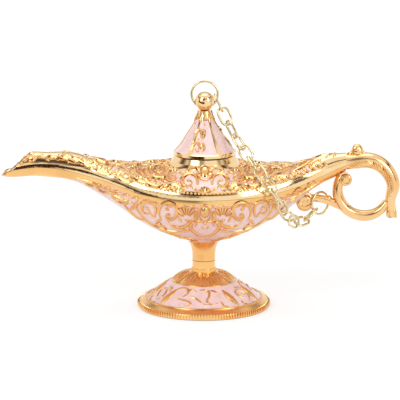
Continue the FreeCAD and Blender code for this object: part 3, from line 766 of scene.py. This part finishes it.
# One flute of the foot, in millimetres: distance from the foot's axis, and radius of its cord
FLUTE_LINE = [(5.0, 0.22), (6.2, 0.34), (7.4, 0.46), (8.6, 0.56), (9.8, 0.64), (10.5, 0.45)]
# The scrolls in one panel of the lid: turn in degrees from the panel's middle, and height in millimetres
LID_SCROLLS = [
    [(-14, 58.0), (-19, 59.8), (-14, 61.8), (-2, 62.0), (6, 60.2), (2, 58.8), (-5, 59.4)],
    [(6, 60.2), (12, 62.0), (16, 60.6), (12, 59.4)],
    [(-16, 55.6), (-12, 57.6), (-2, 58.0), (5, 56.6), (0, 55.4), (-6, 56.2)],
    [(5, 56.6), (11, 57.8), (15, 56.4), (11, 55.3)],
]
# The leaves and beads of the cap, in each sixth of the lid: turn, height, length and width
LID_CAP = [(0, 66.2, 2.6, 1.3), (30, 65.4, 2.6, 1.2), (0, 63.9, 0.9, 0.7)]
# The spirals on the handle's scroll and on the strut's: x, z, radius, half of the depth, and first turn
HANDLE_SPIRALS = [(48.422, 44.298, 2.1, 2.2, 215), (34.5, 37.1, 2.5, 1.85, 60)]
# The leaves at the handle's tip and on its thumb knob: place, direction, normal and size in millimetres
HANDLE_LEAVES = [
    ((65.1, -1, 32.9), (0.35, 0, -1), (0, -1, 0), (4.6, 1.5, 1.1)),
    ((63.3, -1, 33.1), (-0.35, 0, -1), (0, -1, 0), (4.2, 1.5, 1.1)),
    ((65.1, 1, 32.9), (0.35, 0, -1), (0, 1, 0), (4.6, 1.5, 1.1)),
    ((63.3, 1, 33.1), (-0.35, 0, -1), (0, 1, 0), (4.2, 1.5, 1.1)),
    ((52.4, 0, 54.0), (0.12, 0, 1), (0, -1, 0), (5.0, 4.4, 3.4)),
    ((50.5, 0, 53.1), (1, 0, 1.1), (0, 0, 1), (3.4, 2.0, 1.6)),
    ((54.4, 0, 53.0), (1, 0, -0.8), (0, 0, 1), (3.4, 2.0, 1.6)),
]


def bright_relief(look):
    """The polished gold of the ornament on shoulder, lid and handle."""
    # Gold plating over cast relief: bright on the crests, and a warmer orange in soft patches
    found = bpy.data.materials.get("gilt_relief")
    tones = (look.relief_light, look.relief_deep)
    return found or gilt("gilt_relief", tones, rough=0.15, grain=1.4, depth=0.015)


def satin_relief(look):
    """The softer gold of the ornament on bowl and foot."""
    # Unpolished gold plating: the cast skin is left as it is, softly shining and more orange
    found = bpy.data.materials.get("satin_gilt_relief")
    tones = (look.ground_light, look.ground_deep)
    return found or gilt("satin_gilt_relief", tones, rough=0.3, grain=1.4, depth=0.02)


def make_bowl_relief(look, sizes):
    """The scrolls, shells and leaves of the bowl, and the beads set between them."""
    tree = surface("lower_body")
    runs = photo_cords(tree, mirrored(BOWL_SCROLLS), sizes.bowl_cord / MM)
    runs += photo_cords(tree, LIP_VINES, sizes.lip_cord / MM)
    for side in (-1, 1):
        middle = BOWL_MIDDLE + side * 18.0
        runs += fan(tree, middle, 217.5, spread=124, reach=11.5, count=8, lean=-6 * side)
    runs.append(oval_frame(tree, BOWL_MIDDLE, 212.6, half_width=6.4, half_height=7.9, radius=0.28))
    runs.append(scalloped_cord(tree))
    cords = cord_mesh("bowl_cords", runs)
    leaves = scattered("bowl_leaves", seed_mesh(0.6), photo_seeds(tree, paired(BOWL_LEAVES)))
    stones = [(BOWL_MIDDLE, 212.0, 90, 4.5, 3.2, 2.2), (BOWL_MIDDLE, 222.5, 90, 1.5, 1.5, 1.1)]
    stones += paired([(dx, py, 0, 1.5, 1.5, 1.1) for dx, py in BOWL_STUDS], turned=False)
    beads = scattered("bowl_beads", seed_mesh(0.0, 16, 10), photo_seeds(tree, stones))
    settle(both_sides(beads), "bowl_beads", bright_relief(look), "lamp")
    piece = joined("bowl_relief", [cords, leaves])
    settle(both_sides(piece), "bowl_relief", satin_relief(look), "lamp")


def make_shoulder_relief(look, sizes):
    """The scrolls, vines, shells, leaves and beads of the shoulder, the spout and the tail."""
    tree = surface("upper_body")
    runs = photo_cords(tree, mirrored(SHOULDER_SCROLLS), sizes.shoulder_cord / MM)
    runs += photo_cords(tree, SPOUT_VINES + TAIL_VINES, sizes.vine_cord / MM)
    runs += photo_cords(tree, [HOOD_EDGE], 0.5)
    runs += photo_cords(surface("lower_body", "upper_body"), [MOUTH_EDGE], 0.6)
    runs += fan(tree, BOWL_MIDDLE, 194.5, spread=130, reach=7.0, count=7)
    for side in (-1, 1):
        runs += fan(tree, BOWL_MIDDLE + side * 27, 192, spread=120, reach=6.5, count=6, lean=-10 * side)
    runs.append(oval_frame(tree, BOWL_MIDDLE, 173.6, half_width=7.0, half_height=7.4, radius=0.3))
    cords = cord_mesh("shoulder_cords", runs)
    marks = paired(SHOULDER_LEAVES) + SPOUT_LEAVES + TAIL_LEAVES
    stones = paired([(dx, py, 0, 1.3, 1.3, 1.0) for dx, py in SHOULDER_STUDS], turned=False)
    leaves = scattered("shoulder_leaves", seed_mesh(0.6), photo_seeds(tree, marks))
    row = rim_row(tree, -40, 38, 62, lift=0.75, size=(0.85, 0.85, 0.7), leaning=False)
    beads = scattered("shoulder_beads", seed_mesh(0.0, 10, 6), row)
    studs = scattered("shoulder_studs", seed_mesh(0.0, 16, 10), photo_seeds(tree, SHOULDER_STONES + stones))
    rows = []
    for low, high, count in ((-45, -7, 18), (7, 41, 17)):
        rows += rim_row(tree, low, high, count, lift=1.7, size=(3.4, 1.4, 0.95), leaning=True)
    rows += neck_rows(tree, sizes.petal_count)
    petals = scattered("shoulder_petals", seed_mesh(0.6, 12, 8), rows)
    piece = joined("shoulder_relief", [cords, leaves, beads, studs, petals])
    settle(both_sides(piece), "shoulder_relief", bright_relief(look), "lamp")


def make_foot_relief(look, sizes):
    """The foot's leaves and curls in three like thirds, its flutes and rings, and its knurled edge."""
    tree = surface("foot")
    curls = cord_mesh("foot_curls", photo_cords(tree, FOOT_CURLS, sizes.foot_cord / MM))
    leaves = scattered("foot_leaves", seed_mesh(0.9, 16, 10), photo_seeds(tree, FOOT_LEAVES))
    thirds = [joined("foot_third", [curls, leaves])]
    for turn in (120, 240):
        only(thirds[0])
        bpy.ops.object.duplicate()
        thirds.append(bpy.context.active_object)
        thirds[-1].data.transform(Matrix.Rotation(math.radians(turn), 4, "Z"))
    runs = []
    for count in range(sizes.flute_count):
        turn = 360 * count / sizes.flute_count
        spots = [(down_spot(tree, radius, turn), size) for radius, size in FLUTE_LINE]
        runs.append([(s[0] - s[1] * size * 0.55 * MM, size) for s, size in spots if s])
    for radius, size in ((FOOT_PANEL[0] + 0.1, 0.22), (FOOT_PANEL[1], 0.4)):
        spots = [down_spot(tree, radius, 360 * step / 96) for step in range(97)]
        runs.append([(s[0], size) for s in spots if s])
    cords = cord_mesh("foot_flutes", runs)
    knurl, up = [], Vector((0, 0, 1))
    for count in range(sizes.knurl_count):
        angle = 2 * math.pi * count / sizes.knurl_count
        out = Vector((math.cos(angle), math.sin(angle), 0))
        knurl.append(((out * 22.3 + up * 1.15) * MM, up, out, (2.3, 0.62, 1.5)))
    edge = scattered("foot_knurl", seed_mesh(0.1, 6, 6), knurl)
    settle(edge, "foot_knurl", bright_relief(look), "lamp")
    piece = joined("foot_relief", [*thirds, cords])
    settle(piece, "foot_relief", satin_relief(look), "lamp")


def make_lid_relief(look, sizes):
    """A leaf cap under the ball, and small scrolls in each panel."""
    tree = surface("lid")
    runs = []
    for middle in (-16, 104, 224):
        for line in LID_SCROLLS:
            spots = [lid_spot(tree, middle + aside, height) for aside, height in smooth_run(line)]
            runs.append(laid_cord(spots, sizes.lid_cord / MM))
    places = []
    for sector in range(0, 360, 60):
        for aside, height, length, width in LID_CAP:
            spot, ahead = (lid_spot(tree, sector + aside, z) for z in (height, height + 0.8))
            places += leaf_at(spot, ahead, (length, width, 0.5))
    cords = cord_mesh("lid_cords", runs)
    leaves = scattered("lid_leaves", seed_mesh(0.7), places)
    settle(joined("lid_relief", [cords, leaves]), "lid_relief", bright_relief(look), "lid")


def make_handle_relief(look, sizes):
    """Slanted ribs round the inside of the band, spirals on the scrolls, leaves at the knob and the tip."""
    middle = Vector((GRIP_MIDDLE[0], 0, GRIP_MIDDLE[1]))
    tree = surface("handle")
    runs = []
    for count in range(RIB_COUNT):
        turn = 108 - count * RIB_STEP
        share = max(0.0, min(1.0, (96 - turn) / 112))
        band = BAND_WIDTH * (1 - 0.28 * share)
        for side in (-1, 1):
            spots = []
            for step in range(7):
                radius = GRIP_RADIUS + band * (0.1 + 0.5 * step / 6)
                angle = math.radians(turn + RIB_SLANT * step / 6)
                out = Vector((radius * math.cos(angle), CLEAR * side, radius * math.sin(angle)))
                spots.append(spot_along(tree, middle + out, Vector((0, -side, 0))))
            runs.append(laid_cord(spots, sizes.grip_cord / MM))
    for x, z, radius, half, begin in HANDLE_SPIRALS:
        for side in (-1, 1):
            run = []
            for step in range(33):
                share = step / 32
                angle = math.radians(begin - 520 * share)
                reach = radius * (1 - 0.72 * share)
                place = Vector((x + reach * math.cos(angle), side * half, z + reach * math.sin(angle)))
                run.append((place * MM, 0.34 - 0.14 * share))
            runs.append(run)
    cords = cord_mesh("handle_cords", runs)
    places = [(Vector(at) * MM, Vector(way), Vector(out), size) for at, way, out, size in HANDLE_LEAVES]
    leaves = scattered("handle_leaves", seed_mesh(0.7), places)
    piece = joined("handle_relief", [cords, leaves])
    settle(piece, "handle_relief", bright_relief(look), "lamp")


# The sizes and colours that a user would change


def tint(part, shade, code):
    """One of the two tones that a finish varies between."""
    text = f"The {shade} tone of its patches, sRGB hex"
    return bpy.props.StringProperty(name=f"{part}, {shade}", description=text, default=code)


def cord_size(part, radius):
    """How thick some of the relief's cords are."""
    text = "Radius of these cords"
    return bpy.props.FloatProperty(name=part, description=text, default=radius, unit="LENGTH")


def ring_count(part, number):
    """How many of something stand in a ring."""
    return bpy.props.IntProperty(name=part, description="How many stand in the ring", default=number, min=8)


class LampFinish(bpy.types.PropertyGroup):
    enamel_light: tint("Enamel", "lighter", "#FCE0DC")
    enamel_deep: tint("Enamel", "deeper", "#F6CFCB")
    gold_light: tint("Polished gold", "lighter", "#FADDAC")
    gold_deep: tint("Polished gold", "deeper", "#F6D096")
    satin_light: tint("Satin gold", "lighter", "#F9CB86")
    satin_deep: tint("Satin gold", "deeper", "#F2B76E")
    handle_light: tint("Handle", "lighter", "#F8D39C")
    handle_deep: tint("Handle", "deeper", "#F2C186")
    relief_light: tint("Upper relief", "lighter", "#F4CB90")
    relief_deep: tint("Upper relief", "deeper", "#E4AB6A")
    ground_light: tint("Lower relief", "lighter", "#F3C184")
    ground_deep: tint("Lower relief", "deeper", "#E7AA66")
    chain_light: tint("Chain", "lighter", "#F2E6C4")
    chain_deep: tint("Chain", "deeper", "#DCCB9C")
    steel_light: tint("Screw and washer", "lighter", "#B9BCC2")
    steel_deep: tint("Screw and washer", "deeper", "#9A9EA6")
    polish: bpy.props.FloatProperty(
        name="Polish", description="Roughness of the polished gold", default=0.13, min=0.02, max=0.6
    )


class ReliefSizes(bpy.types.PropertyGroup):
    bowl_cord: cord_size("Bowl scrolls", 0.00076)
    lip_cord: cord_size("Vines under the lip", 0.00066)
    shoulder_cord: cord_size("Shoulder scrolls", 0.00088)
    vine_cord: cord_size("Vines on spout and tail", 0.00076)
    foot_cord: cord_size("Foot curls", 0.00041)
    lid_cord: cord_size("Lid scrolls", 0.00054)
    grip_cord: cord_size("Handle ribs", 0.0005)
    petal_count: ring_count("Neck petals", 22)
    flute_count: ring_count("Foot flutes", 36)
    knurl_count: ring_count("Knurls on the foot's edge", 140)


class StudioSetup(bpy.types.PropertyGroup):
    distance: bpy.props.FloatProperty(
        name="Distance", description="Camera to lamp", default=1.1, unit="LENGTH"
    )
    floor_size: bpy.props.FloatProperty(
        name="Floor", description="Side of the floor", default=12.0, unit="LENGTH"
    )
    key_power: bpy.props.FloatProperty(
        name="Key light", description="Power of the key light in watts", default=2.0
    )
    world_strength: bpy.props.FloatProperty(
        name="World", description="Strength of the world's light", default=0.57
    )


class LAMP_OT_castings(bpy.types.Operator):
    """Give the lamp's castings, wire and fixings their finishes"""

    bl_idname = "lamp.castings"
    bl_label = "Finish castings"

    def execute(self, context):
        look = context.scene.lamp_finish
        enamel = (look.enamel_light, look.enamel_deep)
        satin = (*enamel, look.satin_light, look.satin_deep)
        bright = (*enamel, look.gold_light, look.gold_deep)
        # Pale pink soft enamel in a gold-plated zinc casting: glassy ground, and metal that stands proud
        # The castings' materials hold painted shade: dark brown along the seams, and orange beside the neck
        # on the shoulder
        for node, name, *finish, extra in (
            ("lower_body", "bowl", satin, bowl_gold, bowl_seams, 0.25, {"warm_below": 26.0}),
            ("foot", "foot", satin, foot_gold, foot_seam, 0.26, {"polish_above": 13.4}),
            ("upper_body", "shoulder", bright, shoulder_gold, rim_seam, 0.12, {"orange_shade": neck_painted_shade}),
            ("lid", "lid", bright, lid_gold, lid_seam, 0.12, {}),
        ):
            dress(node, enamel_and_gold(name + "_enamel_and_gilt", *finish, **extra))
        # Buffed gold plating: nearly a mirror, with faint waviness left by the buffing wheel
        tones = (look.gold_light, look.gold_deep)
        polished = gilt("buffed_gold_plating", tones, rough=look.polish, grain=3.0, depth=0.02)
        # Satin gold plating on the cast handle: soft reflections and a slightly grainy skin
        tones = (look.handle_light, look.handle_deep)
        satin_gold = gilt("satin_gold_plating", tones, rough=0.19, grain=2.0, depth=0.012)
        # Light gold plated steel wire: paler than the casting, drawn smooth
        tones = (look.chain_light, look.chain_deep)
        wire = gilt("pale_gold_wire", tones, rough=0.2, grain=0.8, depth=0.01)
        # Zinc-plated steel: grey with a faint blue cast and a turned finish
        tones = (look.steel_light, look.steel_deep)
        steel = gilt("zinc_plated_steel", tones, rough=0.35, grain=0.6, depth=0.02)
        chain = [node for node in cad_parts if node.startswith("link_")]
        for material, nodes in (
            (polished, ["neck_collar", "finial_ball"]),
            (satin_gold, ["handle"]),
            (wire, ["finial_ring", "strut_ring", *chain]),
            (steel, ["foot_screw", "foot_washer"]),
        ):
            for node in nodes:
                dress(node, material)
        return {"FINISHED"}


class LAMP_OT_bowl_relief(bpy.types.Operator):
    """Lay the scrolls, shells, leaves and beads on the bowl"""

    bl_idname = "lamp.bowl_relief"
    bl_label = "Bowl relief"

    def execute(self, context):
        make_bowl_relief(context.scene.lamp_finish, context.scene.lamp_relief)
        return {"FINISHED"}


class LAMP_OT_shoulder_relief(bpy.types.Operator):
    """Lay the scrolls, vines and beads on the shoulder, spout and tail"""

    bl_idname = "lamp.shoulder_relief"
    bl_label = "Shoulder relief"

    def execute(self, context):
        make_shoulder_relief(context.scene.lamp_finish, context.scene.lamp_relief)
        return {"FINISHED"}


class LAMP_OT_foot_relief(bpy.types.Operator):
    """Cut the foot's flutes, leaves, curls and knurled edge"""

    bl_idname = "lamp.foot_relief"
    bl_label = "Foot relief"

    def execute(self, context):
        make_foot_relief(context.scene.lamp_finish, context.scene.lamp_relief)
        return {"FINISHED"}


class LAMP_OT_lid_relief(bpy.types.Operator):
    """Lay the leaf cap and the panel scrolls on the lid"""

    bl_idname = "lamp.lid_relief"
    bl_label = "Lid relief"

    def execute(self, context):
        make_lid_relief(context.scene.lamp_finish, context.scene.lamp_relief)
        return {"FINISHED"}


class LAMP_OT_handle_relief(bpy.types.Operator):
    """Lay the ribs, spirals and leaves on the handle"""

    bl_idname = "lamp.handle_relief"
    bl_label = "Handle relief"

    def execute(self, context):
        make_handle_relief(context.scene.lamp_finish, context.scene.lamp_relief)
        return {"FINISHED"}


def studio_world(strength):
    """A pale studio: even light for the surfaces, and for mirrors a room with bright and dark bands."""
    world = bpy.data.worlds.new("studio")
    world.use_nodes = True
    tree = world.node_tree
    tree.nodes.clear()
    axes = add_node(tree, "SeparateXYZ", add_node(tree, "TexCoord", out="Generated")).node.outputs
    path = add_node(tree, "LightPath").node.outputs
    share = add_node(tree, "Math", axes["Z"], 0.5, 0.5, operation="MULTIPLY_ADD")
    room = add_node(tree, "ValToRGB", share)
    stops = room.node.color_ramp.elements
    for end in stops:
        end.color = linear(WHITE)
    for position, code in ((0.72, WHITE), (0.76, ROOM_BAND), (0.79, ROOM_BAND), (0.83, WHITE)):
        stops.new(position).color = linear(code)
    # Two dark flags beside the camera give the polished parts their upright dark edges
    right, ahead = (add_node(tree, "Math", axes[a], -1.0, operation="MULTIPLY") for a in "XY")
    bearing = add_node(tree, "Math", right, ahead, operation="ARCTAN2")
    turn = add_node(tree, "Math", bearing, operation="ABSOLUTE")
    flags = between(tree, turn, math.radians(52), math.radians(76), 0.12)
    flags = both(tree, flags, below(tree, axes["Z"], 0.8, 0.15))
    # A dark wall in front on the left shows in the spout's hood, in the rim band and beside the relief
    wall = both(tree, between(tree, axes["Z"], 0.2, 0.84, 0.08), between(tree, bearing, -0.05, 1.1, 0.15))
    flagged = layered(tree, room, (both(tree, either(tree, flags, wall), 0.9), FLAG_CLOTH))
    lights = (WHITE, strength), (flagged, 1.0), (WHITE, 1.0)
    even, mirror, white = (add_node(tree, "Background", *light) for light in lights)
    first = add_node(tree, "MixShader", path["Is Glossy Ray"], even, mirror)
    add_node(tree, "OutputWorld", add_node(tree, "MixShader", path["Is Camera Ray"], first, white))
    bpy.context.scene.world = world


def studio_floor(size):
    """A pale sweep that shows white and keeps the lamp's soft shadow."""
    deselect_all()
    bpy.ops.mesh.primitive_plane_add(size=size, location=(0, 0, -0.0002))
    floor = bpy.context.active_object
    floor.name = "studio_floor"
    # Matte white paper: even, with no gloss
    material, tree, shader, place = new_material("white_paper_sweep")
    shader.inputs["Base Color"].default_value = linear("#F4F4F4")
    shader.inputs["Roughness"].default_value = 0.9
    shader.inputs["Specular IOR Level"].default_value = 0.1
    path = add_node(tree, "LightPath").node.outputs
    # The camera sees the paper white; close to the lamp it glows less, so that the foot's shadow shows
    away = add_node(tree, "VectorMath", place, operation="LENGTH", out="Value")
    lift = add_node(tree, "Math", above(tree, away, 0.08, 0.3), 0.2, 0.1, operation="MULTIPLY_ADD")
    strength = add_node(tree, "Math", path["Is Camera Ray"], lift, 1.06, operation="MULTIPLY_ADD")
    # Polished metal mirrors a dark stretch of floor in front of the spout, so that its edges read
    axes = add_node(tree, "SeparateXYZ", place).node.outputs
    ahead = below(tree, axes["Y"], -0.13, 0.05)
    dark = both(tree, both(tree, ahead, below(tree, axes["X"], 0.01, 0.03)), path["Is Glossy Ray"])
    glow = add_node(tree, "Emission", layered(tree, WHITE, (dark, FLOOR_CLOTH)), strength)
    seen = either(tree, both(tree, path["Is Camera Ray"], 0.6), path["Is Glossy Ray"])
    surface_input = shader.outputs[0].links[0].to_socket
    tree.links.new(add_node(tree, "MixShader", seen, shader.outputs[0], glow), surface_input)
    floor.data.materials.append(material)


def soft_box(name, place, size, power):
    """One soft lamp that points at the middle of the oil lamp."""
    bpy.ops.object.light_add(type="AREA", location=place)
    lamp = bpy.context.active_object
    lamp.name = name
    lamp.data.shape = "RECTANGLE"
    lamp.data.size, lamp.data.size_y = size
    lamp.data.energy = power
    lamp.rotation_euler = (Vector(LAMP_MIDDLE) - Vector(place)).to_track_quat("-Z", "Y").to_euler()


class LAMP_OT_studio(bpy.types.Operator):
    """Set the floor, the soft lamps, the world and the camera"""

    bl_idname = "lamp.studio"
    bl_label = "Studio"

    def execute(self, context):
        setup = context.scene.lamp_studio
        studio_world(setup.world_strength)
        studio_floor(setup.floor_size)
        soft_box("key_left", (-0.45, -0.5, 0.5), (0.35, 0.5), setup.key_power)
        soft_box("fill_right", (0.5, -0.45, 0.35), (0.25, 0.45), setup.key_power * 0.6)
        soft_box("top_box", (0, 0.1, 0.7), (0.5, 0.35), setup.key_power * 0.4)
        rise = math.radians(VIEW_RISE)
        across, up = IMAGE_SIZE / 2 - IMAGE_MIDDLE, IMAGE_FLOOR - IMAGE_SIZE / 2
        look = Vector((across * IMAGE_SCALE, 0, up * IMAGE_SCALE / math.cos(rise))) * MM
        back = Vector((0, -math.cos(rise), math.sin(rise))) * setup.distance
        bpy.ops.object.camera_add(location=look + back)
        camera = context.active_object
        camera.rotation_euler = (-back).to_track_quat("-Z", "Y").to_euler()
        camera.data.sensor_width = SENSOR
        camera.data.lens = SENSOR * setup.distance / (IMAGE_SIZE * IMAGE_SCALE * MM)
        camera.data.clip_end = 50.0
        context.scene.camera = camera
        context.scene.view_settings.view_transform = "Standard"
        return {"FINISHED"}


class LAMP_PT_panel(bpy.types.Panel):
    """The lamp's steps in order, and its sizes and colours"""

    bl_idname = "LAMP_PT_panel"
    bl_label = "Oil Lamp"
    bl_space_type = "VIEW_3D"
    bl_region_type = "UI"
    bl_category = "Oil Lamp"

    def draw(self, context):
        for step in STEPS:
            self.layout.operator(step.bl_idname)
        for name in GROUPS:
            group = getattr(context.scene, name)
            for value in group.__annotations__:
                self.layout.prop(group, value)


STEPS = (
    LAMP_OT_castings,
    LAMP_OT_bowl_relief,
    LAMP_OT_shoulder_relief,
    LAMP_OT_foot_relief,
    LAMP_OT_lid_relief,
    LAMP_OT_handle_relief,
    LAMP_OT_studio,
)
GROUPS = {"lamp_finish": LampFinish, "lamp_relief": ReliefSizes, "lamp_studio": StudioSetup}
CLASSES = (*GROUPS.values(), *STEPS, LAMP_PT_panel)


def register():
    for item in CLASSES:
        bpy.utils.register_class(item)
    for name, group in GROUPS.items():
        setattr(bpy.types.Scene, name, bpy.props.PointerProperty(type=group))


def unregister():
    for name in GROUPS:
        delattr(bpy.types.Scene, name)
    for item in reversed(CLASSES):
        bpy.utils.unregister_class(item)


def main():
    register()
    bpy.ops.lamp.castings()
    bpy.ops.lamp.bowl_relief()
    bpy.ops.lamp.shoulder_relief()
    bpy.ops.lamp.foot_relief()
    bpy.ops.lamp.lid_relief()
    bpy.ops.lamp.handle_relief()
    bpy.ops.lamp.studio()


if __name__ == "__main__":
    main()
